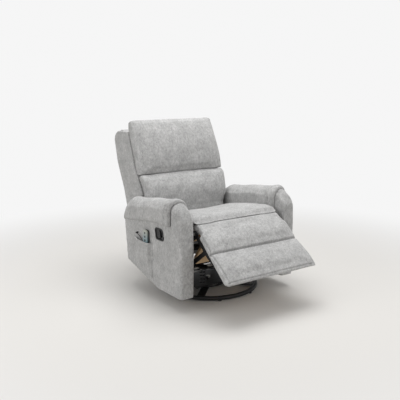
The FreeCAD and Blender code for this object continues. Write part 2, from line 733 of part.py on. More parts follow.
def legrest_local(thing):
    # Pieces drawn with the legrest level are dropped to its slope about the hinge.
    turn = FreeCAD.Rotation(V(1, 0, 0), size("legrest_slope"))
    thing.Placement = FreeCAD.Placement(V(0, hinge[0], hinge[1]), turn)
    return thing


def legrest_profile(drop):
    barrel = size("barrel_radius")
    bow = barrel * math.sqrt(0.5)
    end = -size("legrest_length")
    seam = -188.0
    crest = 60 - drop
    edge = 49 - 0.5 * drop
    return [(barrel, 0), ((bow, bow), (0, barrel)), (-6, barrel), ((-96, crest), (seam + 8, edge)), (seam, 36),
            (seam - 8, edge - 2), ((-276, crest - 2), (end + 12, edge - 2)),
            ((end + 2, 41 - 0.3 * drop), (end, 31)), (end + 6, 18), (-12, 18), (-12, 0)]


def make_legrest():
    body = crowned("LegrestPadBlank", legrest_profile, size("legrest_half"), 9.0, crown=1.5)
    notches = []
    for x in (280.5, -300.5):
        notches.append(box("LegrestNotch", (x, -48, -10), 20, 110, 90))
    pad = cut("LegrestPad", body, group("LegrestNotches", notches))
    keep(legrest_local(pad), "legrest_pad")
    board = plate("LegrestBoard", [(-14, 3), (-14, 17.8), (-344, 17.8), (-344, 3)], -266, 532)
    keep(legrest_local(board), "legrest_board")
    arm = [(14, -15), (14, 15), (-236, 15), (-236, 0), (-150, -15)]
    reach = -size("crank_length")
    web = plate("LegrestWeb", arm, near("middle_layer"), near("plate_thickness"), 7.0, skip=(3,),
                holes=[(0, 0, bore)])
    foot = box("LegrestFoot", (232, -232, 0), near("plate_thickness", 47.0), 92, 3)
    stud = cylinder("LegrestStud", (near("inner_layer", -0.5), reach, 0), near("pin_radius"), 8, axis="x")
    cap = cylinder("LegrestStudCap", (near("inner_layer", -3.5), reach, 0), 8.0, 3, axis="x")
    bracket = fuse("LegrestBracket", [web, foot, stud, cap])
    keep(legrest_local(pair("LegrestBrackets", bracket)), "legrest_brackets")


def make_cranks():
    shaft = cylinder("CrankShaft", (-296, near("crank_y"), near("crank_z")), 8.0, 592, axis="x")
    things = [shaft]
    for sign in (-1, 1):
        start = size("middle_layer") if sign > 0 else -size("middle_layer") - size("plate_thickness")
        things.append(straight_link("CrankArm", (crank, crank_end), 13.0, start, 4.0))
        stud_x = size("inner_layer") - 0.5 if sign > 0 else -size("middle_layer") - size("plate_thickness")
        stud_place = (stud_x, crank_end[0], crank_end[1])
        things.append(cylinder("CrankStud", stud_place, near("pin_radius"), 11.5, axis="x"))
        cap_x = size("inner_layer") - 3.5 if sign > 0 else -size("inner_layer") + 0.5
        things.append(cylinder("CrankCap", (cap_x, crank_end[0], crank_end[1]), 8.0, 3, axis="x"))
    keep(fuse("LegrestCranks", things), "legrest_cranks")


def lumbar_profile(drop):
    roll = size("barrel_radius") + 13.5
    low = (seat_rear[0] - roll * math.sqrt(0.5), seat_rear[1] - roll * math.sqrt(0.5))
    return [(262, 338), (270, 480), (284, 535), (331, 654), (280, 654), ((268, 652), (262 + 0.4 * drop, 647)),
            ((206 + drop, 555), (203 + drop, 450)), ((198.5 + 0.6 * drop, 398), low), (235, 338)]


def head_profile(drop):
    return [(336, 658), (438, 887), (418, 890), (418, 908), (419, 950),
            ((416, 971 - 0.4 * drop), (406, 976 - 0.5 * drop)),
            ((394, 972 - 0.5 * drop), (385 + 0.2 * drop, 958 - 0.5 * drop)),
            ((303 + drop, 818), (270 + 0.4 * drop, 668)), ((274, 660), (284, 658))]


def make_back():
    roof = 889
    wing_inner = 275.0
    corners = [(near("recline_y", -18), near("recline_z", 18)), (seat_rear[0] - 18, seat_rear[1] - 12),
               (seat_rear[0] + 12, seat_rear[1] - 18), (330, 412), (322, 484)]
    holes = [(near("recline_y"), near("recline_z"), bore), (seat_rear[0], seat_rear[1], bore)]
    side = plate("BackArm", corners, near("middle_layer"), near("plate_thickness"), 10.0, holes=holes)
    stubs = [cylinder("BackStub", (275, y, z), 7, 7, axis="x") for y, z in ((304, 466), (316, 426))]
    keep(pair("BackBrackets", fuse("BackBracket", [side] + stubs)), "back_brackets")
    ply = [(280, 344), (334, 344), (412, 344), (579, 848), (518, roof), (441, roof), (339, 659), (290, 545),
           (280, 480)]
    rails = [plate("BackPly", ply, x, 20, 4.0) for x in (-275, 255)]
    bars = [[(446, 862), (500, 862), (500, 888), (446, 888)], [(372, 735), (392, 735), (414, 785), (394, 785)],
            [(300, 560), (320, 560), (342, 610), (322, 610)], [(282, 350), (302, 350), (302, 400), (282, 400)]]
    rails += [plate("BackBar", bar, -260, 520) for bar in bars]
    keep(fuse("BackFrame", rails), "back_frame")
    webs = []
    for i in range(4):
        y, z = 296 + 46 * 0.43 * i, 450 + 46 * i
        strap = [(y, z), (y + 2, z), (y + 15, z + 34), (y + 13, z + 34)]
        webs.append(plate("Web", strap, -255, 510))
    keep(group("Webbing", webs), "back_webbing")
    motors = []
    for x in (-110, 110):
        for i in (1, 3):
            y, z = 296 + 46 * 0.43 * i + 10, 450 + 46 * i + 17
            motor = cylinder("Motor", (x, y, z), 24, 28, axis="y")
            motor.Placement = FreeCAD.Placement(V(x, y, z), FreeCAD.Rotation(V(1, 0, 0), -90 - 21))
            motors.append(motor)
    keep(group("Motors", motors), "vibration_motors")
    wing = [(264, 540), (345, 482), (390, 338), (426, 330), (516, 590), (595, 848), (591, 868), (577, 888),
            (556, 901), (528, 906), (423, 906), (414, 884)]
    sides = pair("BackSides", plate("BackSide", wing, wing_inner, near("back_half", -wing_inner), 5.0))
    keep(sides, "back_sides")
    outer_steps = [(426, 330), ((516, 590), (594, 848)), ((580, 894), (524, 905)), (422, 905), (422, 891),
                   (519, 891), ((566, 880), (580, 848)), ((502, 592), (413, 334))]
    wire = outline(outer_steps, lambda y, z: V(-wing_inner, y, z))
    shell = Part.Face(wire).extrude(V(2 * wing_inner, 0, 0))
    keep(solid_feature("BackPanel", shell), "back_panel")
    lumbar = crowned("LumbarBlank", lumbar_profile, size("back_half") - 3, 14.0)
    notches = []
    for x in (270.5, -300.5):
        notches.append(box("LumbarNotch", (x, 180, 320), 30, 120, 172))
    lumbar = cut("LumbarNotched", lumbar, group("LumbarNotches", notches))
    keep(cut("Lumbar", lumbar, sides), "lumbar_cushion")
    head = crowned("HeadBlank", head_profile, size("back_half") + 2, 16.0)
    keep(cut("Head", head, sides), "head_cushion")


def make_control():
    keep(box("ControlBox", (-70, 128, 186), 140, 87, 38), "control_box")


plate_bottom = make_base()
sheet_top = make_swivel(plate_bottom)
make_chassis(sheet_top)
right_cover = make_arms()
make_lever(right_cover)
make_pocket()
make_handset()
make_cord()
make_seat()
make_links()
make_legrest()
make_cranks()
make_back()
make_control()
doc.recompute()

for thing in doc.Objects:
    if "Invalid" in thing.State or "Error" in thing.State:
        raise RuntimeError("%s (%s) failed: %s" % (thing.Name, thing.Label, thing.State))
for thing in pieces:
    if thing.Shape.isNull() or not thing.Shape.isValid():
        raise RuntimeError("%s has no valid shape" % thing.Label)

os.makedirs("parts", exist_ok=True)
for thing in pieces:
    thing.Shape.exportStep("parts/%s.step" % thing.Label)
print("%d pieces written" % len(pieces))
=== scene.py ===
import json
import math
import bmesh
import bpy
import numpy as np
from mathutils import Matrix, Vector


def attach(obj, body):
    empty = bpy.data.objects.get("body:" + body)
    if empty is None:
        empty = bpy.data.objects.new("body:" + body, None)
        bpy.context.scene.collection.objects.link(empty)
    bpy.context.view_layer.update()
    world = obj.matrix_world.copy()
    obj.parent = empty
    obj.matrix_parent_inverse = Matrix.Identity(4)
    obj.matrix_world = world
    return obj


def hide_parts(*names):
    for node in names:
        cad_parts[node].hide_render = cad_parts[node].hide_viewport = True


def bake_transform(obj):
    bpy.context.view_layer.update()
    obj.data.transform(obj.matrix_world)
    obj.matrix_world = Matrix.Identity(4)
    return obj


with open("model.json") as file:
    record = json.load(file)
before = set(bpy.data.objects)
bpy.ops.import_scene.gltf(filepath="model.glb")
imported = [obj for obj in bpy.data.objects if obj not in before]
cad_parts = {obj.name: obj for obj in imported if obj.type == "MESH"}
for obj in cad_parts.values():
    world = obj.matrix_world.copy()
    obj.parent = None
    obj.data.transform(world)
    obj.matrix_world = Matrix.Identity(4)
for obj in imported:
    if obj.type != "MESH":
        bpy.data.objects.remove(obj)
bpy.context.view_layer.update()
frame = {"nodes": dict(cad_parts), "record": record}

nodes = frame["nodes"]
scene = bpy.context.scene
scene.view_settings.view_transform = "Standard"
print("frame loaded,", len(nodes), "nodes")


# objects, nodes and shaders

def addObject(name, data):
    made = bpy.data.objects.new(name, data)
    scene.collection.objects.link(made)
    return made


def addNode(tree, kind, links=(), values=None, **settings):
    node = tree.nodes.new(kind)
    for key, value in settings.items():
        setattr(node, key, value)
    for socket, value in (values or {}).items():
        node.inputs[socket].default_value = value
    for source, socket in links:
        tree.links.new(source, node.inputs[socket])
    return node


def finish(name, roughness, metallic=0.0, **sockets):
    made = bpy.data.materials.new(name)
    made.use_nodes = True
    shader = made.node_tree.nodes["Principled BSDF"]
    shader.inputs["Roughness"].default_value = roughness
    shader.inputs["Metallic"].default_value = metallic
    for socket, value in sockets.items():
        shader.inputs[socket.replace("_", " ")].default_value = value
    return made, made.node_tree, shader


def objectPlace(tree):
    return addNode(tree, "ShaderNodeTexCoord").outputs["Object"]


# camera and light

cameraView = {"place": (-2.0318, -2.8154, 1.2259), "pitchDown": 0.2005, "heading": 0.6109, "lens": 54.02,
              "sensor": 36}
studio = {"worldLevel": 0.50, "backdropLevel": 0.92, "lampReach": 2.2, "floorColor": (0.66, 0.645, 0.62, 1),
          "floorRoughness": 0.8, "floorReach": 300, "shadeReach": 0.9, "paleReach": 2.6}
lamps = {
    "topLight": {"place": (0.25, 0.30, 3.0), "target": (0, -0.1, 0.4), "power": 70},
    "sideLight": {"place": (-3.2, 0.2, 1.7), "target": (0, 0, 0.4), "power": 29},
    "frontLight": {"place": (1.0, -3.2, 1.8), "target": (0, 0, 0.4), "power": 23},
}


def setCamera():
    eye = addObject("photoCamera", bpy.data.cameras.new("photoCamera"))
    eye.location = cameraView["place"]
    eye.rotation_euler = (math.pi / 2 - cameraView["pitchDown"], 0, -cameraView["heading"])
    eye.data.lens, eye.data.sensor_width = cameraView["lens"], cameraView["sensor"]
    scene.camera = eye


def setWorld():
    # brighter to the camera and in reflections than in the light it gives
    world = bpy.data.worlds.new("studio")
    scene.world = world
    world.use_nodes = True
    tree = world.node_tree
    sky = tree.nodes["Background"]
    sky.inputs["Color"].default_value = (1, 1, 1, 1)
    path = addNode(tree, "ShaderNodeLightPath")
    seen = path.outputs["Is Camera Ray"]
    for ray in ("Is Glossy Ray", "Is Transmission Ray"):
        either = addNode(tree, "ShaderNodeMath", [(seen, 0), (path.outputs[ray], 1)], operation="MAXIMUM")
        seen = either.outputs[0]
    levels = {"To Min": studio["worldLevel"], "To Max": studio["backdropLevel"]}
    level = addNode(tree, "ShaderNodeMapRange", [(seen, "Value")], levels)
    tree.links.new(level.outputs["Result"], sky.inputs["Strength"])


def hangLamps():
    for name, plan in lamps.items():
        light = bpy.data.lights.new(name, "AREA")
        light.energy, light.size = plan["power"], studio["lampReach"]
        lamp = addObject(name, light)
        lamp.location = plan["place"]
        aim = Vector(plan["target"]) - Vector(plan["place"])
        lamp.rotation_euler = aim.to_track_quat("-Z", "Y").to_euler()


def layFloor():
    # shaded under the object, and as pale as the backdrop further off for the camera alone
    far = studio["floorReach"]
    mesh = bpy.data.meshes.new("studioFloor")
    mesh.from_pydata([(-far, -far, 0), (far, -far, 0), (far, far, 0), (-far, far, 0)], [], [(0, 1, 2, 3)])
    floor = addObject("studioFloor", mesh)
    paint, tree, shader = finish("paleFloor", studio["floorRoughness"])
    shader.inputs["Base Color"].default_value = studio["floorColor"]
    away = addNode(tree, "ShaderNodeVectorMath", [(objectPlace(tree), 0)], operation="LENGTH")
    reach = {"From Min": studio["shadeReach"], "From Max": studio["paleReach"]}
    fade = addNode(tree, "ShaderNodeMapRange", [(away.outputs["Value"], "Value")], reach,
                   interpolation_type="SMOOTHSTEP")
    seen = addNode(tree, "ShaderNodeLightPath").outputs["Is Camera Ray"]
    both = addNode(tree, "ShaderNodeMath", [(fade.outputs["Result"], 0), (seen, 1)], operation="MULTIPLY")
    glow = addNode(tree, "ShaderNodeEmission", values={"Strength": studio["backdropLevel"]})
    mix = addNode(tree, "ShaderNodeMixShader",
                  [(both.outputs[0], 0), (shader.outputs[0], 1), (glow.outputs[0], 2)])
    tree.links.new(mix.outputs[0], tree.nodes["Material Output"].inputs["Surface"])
    mesh.materials.append(paint)


setCamera()
setWorld()
hangLamps()
layFloor()
print("camera, lights and floor set")


# ways of mixing tones and grain

def grey(level):
    return (level,) * 3


def objectNoise(tree, scale, detail=3.0, rough=0.55, stretch=(1, 1, 1), distort=0.0):
    turn = addNode(tree, "ShaderNodeMapping", [(objectPlace(tree), "Vector")], {"Scale": stretch})
    values = {"Scale": scale, "Detail": detail, "Roughness": rough, "Distortion": distort}
    grain = addNode(tree, "ShaderNodeTexNoise", [(turn.outputs["Vector"], "Vector")], values)
    return grain.outputs["Fac"]


def ramp(tree, source, stops):
    band = addNode(tree, "ShaderNodeValToRGB", [(source, "Fac")])
    edges = band.color_ramp.elements
    while len(edges) < len(stops):
        edges.new(0.5)
    for edge, (place, tone) in zip(edges, stops):
        edge.position = place
        edge.color = tuple(tone) + (1,)
    return band.outputs["Color"]


def overlay(tree, amount, first, second):
    mix = addNode(tree, "ShaderNodeMix", [(first, "A"), (second, "B")], {"Factor": amount},
                  data_type="RGBA", blend_type="OVERLAY")
    return mix.outputs["Result"]


def addBump(tree, shader, heights, strength, distance):
    total = heights[0]
    for extra in heights[1:]:
        total = addNode(tree, "ShaderNodeMath", [(total, 0), (extra, 1)], operation="ADD").outputs[0]
    bump = addNode(tree, "ShaderNodeBump", [(total, "Height")], {"Strength": strength, "Distance": distance})
    tree.links.new(bump.outputs["Normal"], shader.inputs["Normal"])


# grey chenille: flecks, clouds and tufts over small loops

heather = {"dark": 0.285, "mid": 0.395, "light": 0.505, "tint": (1.0, 0.995, 0.985), "roughness": 0.95,
           "sheen": 0.18, "sheenRoughness": 0.6, "gloss": 0.12, "fleckScale": 95,
           "fleckStretch": (1.0, 1.0, 0.62), "cloudScale": 16, "cloudMix": 0.8, "tuftScale": 520,
           "tuftMix": 0.55, "loopScale": 640, "bump": 0.55, "bumpHeight": 0.0011}


def greyChenille(name):
    made, tree, shader = finish(name, heather["roughness"], Sheen_Weight=heather["sheen"],
                                Sheen_Roughness=heather["sheenRoughness"],
                                Specular_IOR_Level=heather["gloss"])
    dark, mid, light = [tuple(heather[key] * c for c in heather["tint"]) for key in ("dark", "mid", "light")]
    fleck = objectNoise(tree, heather["fleckScale"], detail=4, rough=0.7, stretch=heather["fleckStretch"],
                        distort=0.6)
    base = ramp(tree, fleck, [(0.3, dark), (0.5, mid), (0.7, light)])
    cloud = objectNoise(tree, heather["cloudScale"])
    soft = ramp(tree, cloud, [(0.3, grey(0.42)), (0.7, grey(0.58))])
    base = overlay(tree, heather["cloudMix"], base, soft)
    tuft = objectNoise(tree, heather["tuftScale"], detail=2, rough=0.6)
    yarn = ramp(tree, tuft, [(0.32, grey(0.34)), (0.68, grey(0.66))])
    base = overlay(tree, heather["tuftMix"], base, yarn)
    tree.links.new(base, shader.inputs["Base Color"])
    cells = {"Scale": heather["loopScale"]}
    loops = addNode(tree, "ShaderNodeTexVoronoi", [(objectPlace(tree), "Vector")], cells)
    addBump(tree, shader, [tuft, loops.outputs["Distance"], fleck], heather["bump"], heather["bumpHeight"])
    return made


# plywood, with glue lines between its layers

birch = {"roughness": 0.62, "grainScale": 26, "grainStretch": (1, 0.12, 1), "bump": 0.3, "bumpHeight": 0.0004,
         "layerScale": 90, "layerWaver": 0.6, "layerMix": 0.4,
         "tones": [(0.25, (0.42, 0.27, 0.14)), (0.5, (0.6, 0.43, 0.25)), (0.8, (0.7, 0.53, 0.33))]}


def birchPly(name):
    made, tree, shader = finish(name, birch["roughness"])
    grain = objectNoise(tree, birch["grainScale"], detail=6, rough=0.6, stretch=birch["grainStretch"])
    wave = {"Scale": birch["layerScale"], "Distortion": birch["layerWaver"]}
    layers = addNode(tree, "ShaderNodeTexWave", [(objectPlace(tree), "Vector")], wave)
    glue = ramp(tree, layers.outputs["Fac"], [(0.2, grey(0.35)), (0.5, grey(0.55))])
    tone = overlay(tree, birch["layerMix"], ramp(tree, grain, birch["tones"]), glue)
    tree.links.new(tone, shader.inputs["Base Color"])
    addBump(tree, shader, [grain], birch["bump"], birch["bumpHeight"])
    return made


# handset face plate, from slate blue at the foot to pale grey at the head

handsetFace = {"low": 0.305, "high": 0.392, "roughness": 0.3, "coat": 0.3, "grainScale": 900, "bump": 0.3,
               "bumpHeight": 0.00005,
               "tones": [(0.0, (0.075, 0.16, 0.20)), (0.5, (0.20, 0.27, 0.29)), (0.95, (0.38, 0.40, 0.35))]}


def slateFace(name):
    made, tree, shader = finish(name, handsetFace["roughness"], Coat_Weight=handsetFace["coat"])
    split = addNode(tree, "ShaderNodeSeparateXYZ", [(objectPlace(tree), "Vector")])
    span = {"From Min": handsetFace["low"], "From Max": handsetFace["high"]}
    level = addNode(tree, "ShaderNodeMapRange", [(split.outputs["Z"], "Value")], span)
    tree.links.new(ramp(tree, level.outputs["Result"], handsetFace["tones"]), shader.inputs["Base Color"])
    grain = objectNoise(tree, handsetFace["grainScale"], detail=2)
    addBump(tree, shader, [grain], handsetFace["bump"], handsetFace["bumpHeight"])
    return made


# paint, metal, plastic, rubber and thread, a little uneven in tone and wear

plainWear = {"play": 0.09, "bump": 0.35}


def plainFinish(name, color, roughness, metallic=0.0, vary=0.2, patches=80, grain=900, height=0.0001,
                **sockets):
    made, tree, shader = finish(name, roughness, metallic, **sockets)
    patch = objectNoise(tree, patches, detail=4)
    low, high = tuple(c * (1 - vary) for c in color), tuple(c * (1 + vary) for c in color)
    tree.links.new(ramp(tree, patch, [(0.3, low), (0.7, high)]), shader.inputs["Base Color"])
    wear = {"To Min": roughness - plainWear["play"], "To Max": roughness + plainWear["play"]}
    worn = addNode(tree, "ShaderNodeMapRange", [(patch, "Value")], wear)
    tree.links.new(worn.outputs["Result"], shader.inputs["Roughness"])
    addBump(tree, shader, [objectNoise(tree, grain, detail=2)], plainWear["bump"], height)
    return made


cloth = greyChenille("greyChenille")
threadGrey = plainFinish("greyThread", grey(0.3), 0.8, vary=0.15, patches=900, grain=2000)
finishes = {
    "black_steel": plainFinish("satinBlackCoat", (0.008, 0.008, 0.0085), 0.5, vary=0.3, patches=45,
                               height=0.00012, Specular_IOR_Level=0.3),
    "zinc_steel": plainFinish("zincPlate", (0.5, 0.49, 0.46), 0.34, 1.0, vary=0.14, patches=70, grain=500),
    "plywood": birchPly("birchPly"),
    "nylon": plainFinish("blackNylon", grey(0.02), 0.5, grain=600),
    "black_plastic": plainFinish("texturedBlackPlastic", (0.016, 0.016, 0.017), 0.55, grain=1400,
                                 height=0.0003),
    "handset_face": slateFace("slateHandsetFace"),
    "button_rubber": plainFinish("siliconeKeys", (0.03, 0.03, 0.032), 0.6, vary=0.15, patches=200),
    "cord_rubber": plainFinish("cordSheath", grey(0.014), 0.5, patches=120),
    "webbing": plainFinish("wovenWebbing", grey(0.05), 0.85, vary=0.3, patches=300, height=0.0005),
    "upholstery": cloth,
}
for entry in frame["record"]["subparts"]:
    node = nodes[entry["node"]]
    node.data.materials.clear()
    node.data.materials.append(finishes[entry["material_slot"]])
print("finishes made")


# handset cord, along the same route as its solid, which is given in millimetres

handsetCord = {"plane": -0.411, "diameter": 0.0045, "length": 0.2896,
               "route": [(132, 353), (107, 346), (80, 333), (63, 313), (57, 288), (60, 260), (62, 232),
                         (61, 206), (54, 185), (40, 173), (26, 179), (22, 194), (26, 210), (26, 226)]}


def makeCord():
    route = [(handsetCord["plane"], y / 1000, z / 1000) for y, z in handsetCord["route"]]
    curve = bpy.data.curves.new("handsetLead", "CURVE")
    curve.dimensions = "3D"
    line = curve.splines.new("NURBS")
    line.points.add(len(route) - 1)
    for point, place in zip(line.points, route):
        point.co = place + (1,)
    line.order_u = 3
    line.use_endpoint_u = True
    line.resolution_u = 8
    curve.bevel_depth = handsetCord["diameter"] / 2
    curve.bevel_resolution = 3
    curve.use_fill_caps = True
    curve.materials.append(finishes["cord_rubber"])
    lead = addObject("handsetLead", curve)
    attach(lead, "chassis")
    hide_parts("handset_cord")


makeCord()
print("handset cord laid")


# ways of working meshes

mergeReach = 0.00002


def copyOf(node, name, look=cloth):
    mesh = nodes[node].data.copy()
    shape = bmesh.new()
    shape.from_mesh(mesh)
    bmesh.ops.remove_doubles(shape, verts=shape.verts, dist=mergeReach)
    shape.to_mesh(mesh)
    shape.free()
    mesh.materials.clear()
    mesh.materials.append(look)
    return addObject(name, mesh)


def evaluatedMesh(piece):
    graph = bpy.context.evaluated_depsgraph_get()
    return bpy.data.meshes.new_from_object(piece.evaluated_get(graph), depsgraph=graph)


def takeModifiers(piece):
    mesh = evaluatedMesh(piece)
    piece.modifiers.clear()
    old, piece.data = piece.data, mesh
    bpy.data.meshes.remove(old)


def readVectors(source, key):
    flat = np.empty(len(source) * 3, np.float32)
    source.foreach_get(key, flat)
    return flat.reshape(-1, 3).astype(float)


def points(piece):
    return readVectors(piece.data.vertices, "co")


def normals(piece):
    return readVectors(piece.data.vertex_normals, "vector")


def setPoints(piece, places):
    piece.data.vertices.foreach_set("co", places.astype(np.float32).ravel())
    piece.data.update()


def remesh(piece, voxel, smooth):
    step = piece.modifiers.new("voxels", "REMESH")
    step.mode, step.voxel_size = "VOXEL", voxel
    ease = piece.modifiers.new("ease", "SMOOTH")
    ease.factor, ease.iterations = 0.5, smooth
    takeModifiers(piece)


def finer(piece):
    step = piece.modifiers.new("finer", "SUBSURF")
    step.levels = step.render_levels = 1
    takeModifiers(piece)


def between(value, low, high):
    # 0 below low, 1 above high, smooth in the middle
    t = np.clip((value - low) / (high - low), 0, 1)
    return t * t * (3 - 2 * t)


def upperShare(up):
    # 1 on upper faces and 0 on lower ones, from the height of the normal
    return between(up, -0.1, 0.6)


# ways of working cloth and stuffing

clothStuff = {"pressure": 4, "frames": 12, "quality": 5, "mass": 0.3, "stretch": 12, "shear": 6, "bend": 0.6,
              "sink": 0.0006}
puckers = {"pitch": 0.021, "wander": 2.1, "wanderPace": 37.0, "offset": 2.0, "spread": 1.5}
unevenWaves = {"count": 9, "shortest": 0.6, "longest": 1.7}


def swell(piece, plan, held=None):
    # cloth with air in it, from a slightly smaller start; it may fill out up to a cap
    outward, inset = normals(piece), plan["inset"]
    small = points(piece) - outward * inset
    setPoints(piece, small)
    soft = piece.modifiers.new("cloth", "CLOTH")
    weave = soft.settings
    weave.quality, weave.mass = clothStuff["quality"], clothStuff["mass"]
    weave.tension_stiffness = weave.compression_stiffness = clothStuff["stretch"]
    weave.shear_stiffness, weave.bending_stiffness = clothStuff["shear"], clothStuff["bend"]
    weave.use_pressure, weave.uniform_pressure_force = True, clothStuff["pressure"]
    weave.shrink_min = -plan["grow"]
    weave.effector_weights.gravity = 0
    soft.collision_settings.use_collision = False
    soft.point_cache.frame_start, soft.point_cache.frame_end = 1, clothStuff["frames"]
    if held is not None:
        sewn = piece.vertex_groups.new(name="sewn")
        sewn.add([int(i) for i in np.flatnonzero(held(small, outward))], 1.0, "REPLACE")
        weave.vertex_group_mass = "sewn"
    for tick in range(1, clothStuff["frames"] + 1):
        scene.frame_set(tick)
    mesh = evaluatedMesh(piece)
    moved = readVectors(mesh.vertices, "co") - small
    piece.modifiers.clear()
    piece.vertex_groups.clear()
    scene.frame_set(1)
    bpy.data.meshes.remove(mesh)
    across = np.abs(outward[:, 0])
    limit = plan["cap"] * (1 - across) + plan["sideCap"] * across
    rise = np.clip((moved * outward).sum(axis=1) - inset, -clothStuff["sink"], limit)
    setPoints(piece, small + outward * (inset + rise)[:, None])


def pullIn(piece, away, depth, width, where=None, pucker=0.0, along=0):
    # draws the cloth in along a seam, and puckers it a little on both sides
    places, outward = points(piece), normals(piece)
    gap, run = away(places), places[:, along]
    pull = depth * np.exp(-(gap / width) ** 2)
    wander = puckers["wander"] * np.sin(run * puckers["wanderPace"])
    wave = np.sin(2 * np.pi * run / puckers["pitch"] + wander)
    beside = np.exp(-((gap - puckers["offset"] * width) / (puckers["spread"] * width)) ** 2)
    pull = pull + pucker * wave * beside
    if where is not None:
        pull = pull * where(places, outward)
    setPoints(piece, places - outward * pull[:, None])


def unsettle(piece, uneven, seed):
    # the slow unevenness of stuffed cloth
    amount, reach = uneven
    places, outward = points(piece), normals(piece)
    dice = np.random.default_rng(seed)
    lift = np.zeros(len(places))
    for _ in range(unevenWaves["count"]):
        way = dice.normal(size=3)
        way /= np.linalg.norm(way) * reach * dice.uniform(unevenWaves["shortest"], unevenWaves["longest"])
        lift += np.sin(2 * np.pi * places @ way + dice.uniform(0, 6.28))
    setPoints(piece, places + outward * (amount / math.sqrt(unevenWaves["count"]) * lift)[:, None])


def stuff(piece, places, plan, held=None):
    # a shaped cushion gets even faces, air, unevenness and a finer mesh
    setPoints(piece, places)
    remesh(piece, plan["voxel"], smooth=3)
    swell(piece, plan, held)
    unsettle(piece, plan["uneven"], plan["seed"])
    finer(piece)


def settle(piece, body, node):
    piece.data.shade_smooth()
    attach(piece, body)
    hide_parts(node)
    print(piece.name, len(piece.data.polygons), "faces")


# rows of stitches, gathered for each body and sewn at the end

stitchRows = {}
threadLift = 0.0004


def sewLine(piece, body, spot, facing, keep):
    # a seam line where a plane cuts the piece, kept where it should be sewn
    shape = bmesh.new()
    shape.from_mesh(piece.data)
    whole = shape.verts[:] + shape.edges[:] + shape.faces[:]
    cut = bmesh.ops.bisect_plane(shape, geom=whole, dist=1e-6, plane_co=spot, plane_no=facing)["geom_cut"]
    shape.normal_update()
    spots, runs = stitchRows.setdefault(body, ([], []))
    known = {}
    for edge in cut:
        if isinstance(edge, bmesh.types.BMEdge) and all(keep(v.co, v.normal) for v in edge.verts):
            for v in edge.verts:
                if v not in known:
                    known[v] = len(spots)
                    spots.append(tuple(v.co + v.normal * threadLift))
            runs.append(tuple(known[v] for v in edge.verts))
    shape.free()


# coil springs between the swivel plate and the rocking chassis

def makeCoils():
    # black steel in place of the springs' zinc: painted shade, so the underside of the seat reads dark
    coils = copyOf("rocker_springs", "rockerCoilsPaintedShade", finishes["black_steel"])
    coils.data.shade_smooth()
    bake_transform(coils)
    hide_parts("rocker_springs")


# head pillow and lumbar roll, which roll back to the front edge of the wings and fill their corners there

wingEdge = {"low": (0.264, 0.540), "high": (0.414, 0.884), "lineBand": 0.06, "lineReach": 0.022,
            "lineDepth": 0.011, "lineEnd": 0.90, "lineTop": 0.93}
backCushion = {"voxel": 0.0055, "inset": 0.003, "cap": 0.008, "sideCap": 0.002, "grow": 0.0, "fill": 0.75,
               "flare": 0.036, "endKeep": 0.96, "endFrom": 0.005, "endTo": 0.060}
headPillow = {**backCushion, "uneven": (0.0011, 0.16), "seed": 3, "sideRoll": 0.050, "sideKeep": 0.76,
              "cornerRoll": 0.014, "cornerKeep": 0.85, "cornerFrom": 0.875, "cornerTo": 0.945,
              "hemRoll": 0.028, "hemKeep": 0.74, "flareFrom": 0.68, "flareSpan": 0.26, "flareLoss": 0.85}
lumbarRoll = {**backCushion, "uneven": (0.0012, 0.15), "seed": 4, "sideRoll": 0.030, "sideKeep": 0.84,
              "corner": 0.018, "topRoll": 0.026, "topKeep": 0.74, "topFrom": 0.46, "topTo": 0.630,
              "topBulge": 0.016, "bulgeReach": 0.04, "flareFrom": 0.555, "flareTo": 0.655}


def beforeWing(places):
    low, high = np.array(wingEdge["low"]), np.array(wingEdge["high"])
    along = (high - low) / np.linalg.norm(high - low)
    forward = np.array((-along[1], along[0]))
    return (places[:, 1:] - low) @ forward, forward


def drawInSides(places):
    # the dark line where a cushion meets the front edge of the wing
    gap, _ = beforeWing(places)
    half = np.abs(places[:, 0]).max()
    near = between(np.abs(places[:, 0]), half - wingEdge["lineBand"], half)
    pull = wingEdge["lineDepth"] * np.clip(1 - gap / wingEdge["lineReach"], 0, 1) ** 1.5 * near
    pull = pull * (1 - between(places[:, 2], wingEdge["lineEnd"], wingEdge["lineTop"]))
    places[:, 0] -= np.sign(places[:, 0]) * pull


def rollBack(places, edge, reach, keep):
    # a quarter round from the face of a cushion back towards the wings
    gap, forward = beforeWing(places)
    t = np.clip(edge / reach, 0, 1)
    share = keep + (1 - keep) * np.sqrt(1 - (1 - t) ** 2)
    places[:, 1:] += np.where(gap > 0, gap * (share - 1), 0)[:, None] * forward


def fullerEnds(keep, edge):
    # less of a roll close to the sides
    near = 1 - between(edge, backCushion["endFrom"], backCushion["endTo"])
    return keep + (backCushion["endKeep"] - keep) * near


def makeHeadPillow():
    plan = headPillow
    piece = copyOf("head_cushion", "headPillow")
    remesh(piece, plan["voxel"], smooth=1)
    places = points(piece)
    edge = np.abs(places[:, 0]).max() - np.abs(places[:, 0])
    upper = between(places[:, 2], plan["cornerFrom"], plan["cornerTo"])
    reach = plan["sideRoll"] + (plan["cornerRoll"] - plan["sideRoll"]) * upper
    keep = plan["sideKeep"] + (plan["cornerKeep"] - plan["sideKeep"]) * upper
    rollBack(places, edge, reach, keep)
    rollBack(places, places[:, 2] - places[:, 2].min(), plan["hemRoll"], fullerEnds(plan["hemKeep"], edge))
    loss = np.clip((places[:, 2] - plan["flareFrom"]) / plan["flareSpan"], 0, 1)
    places[:, 0] *= 1 + plan["flare"] * (1 - plan["flareLoss"] * loss)
    drawInSides(places)
    stuff(piece, places, plan)
    settle(piece, "back", "head_cushion")


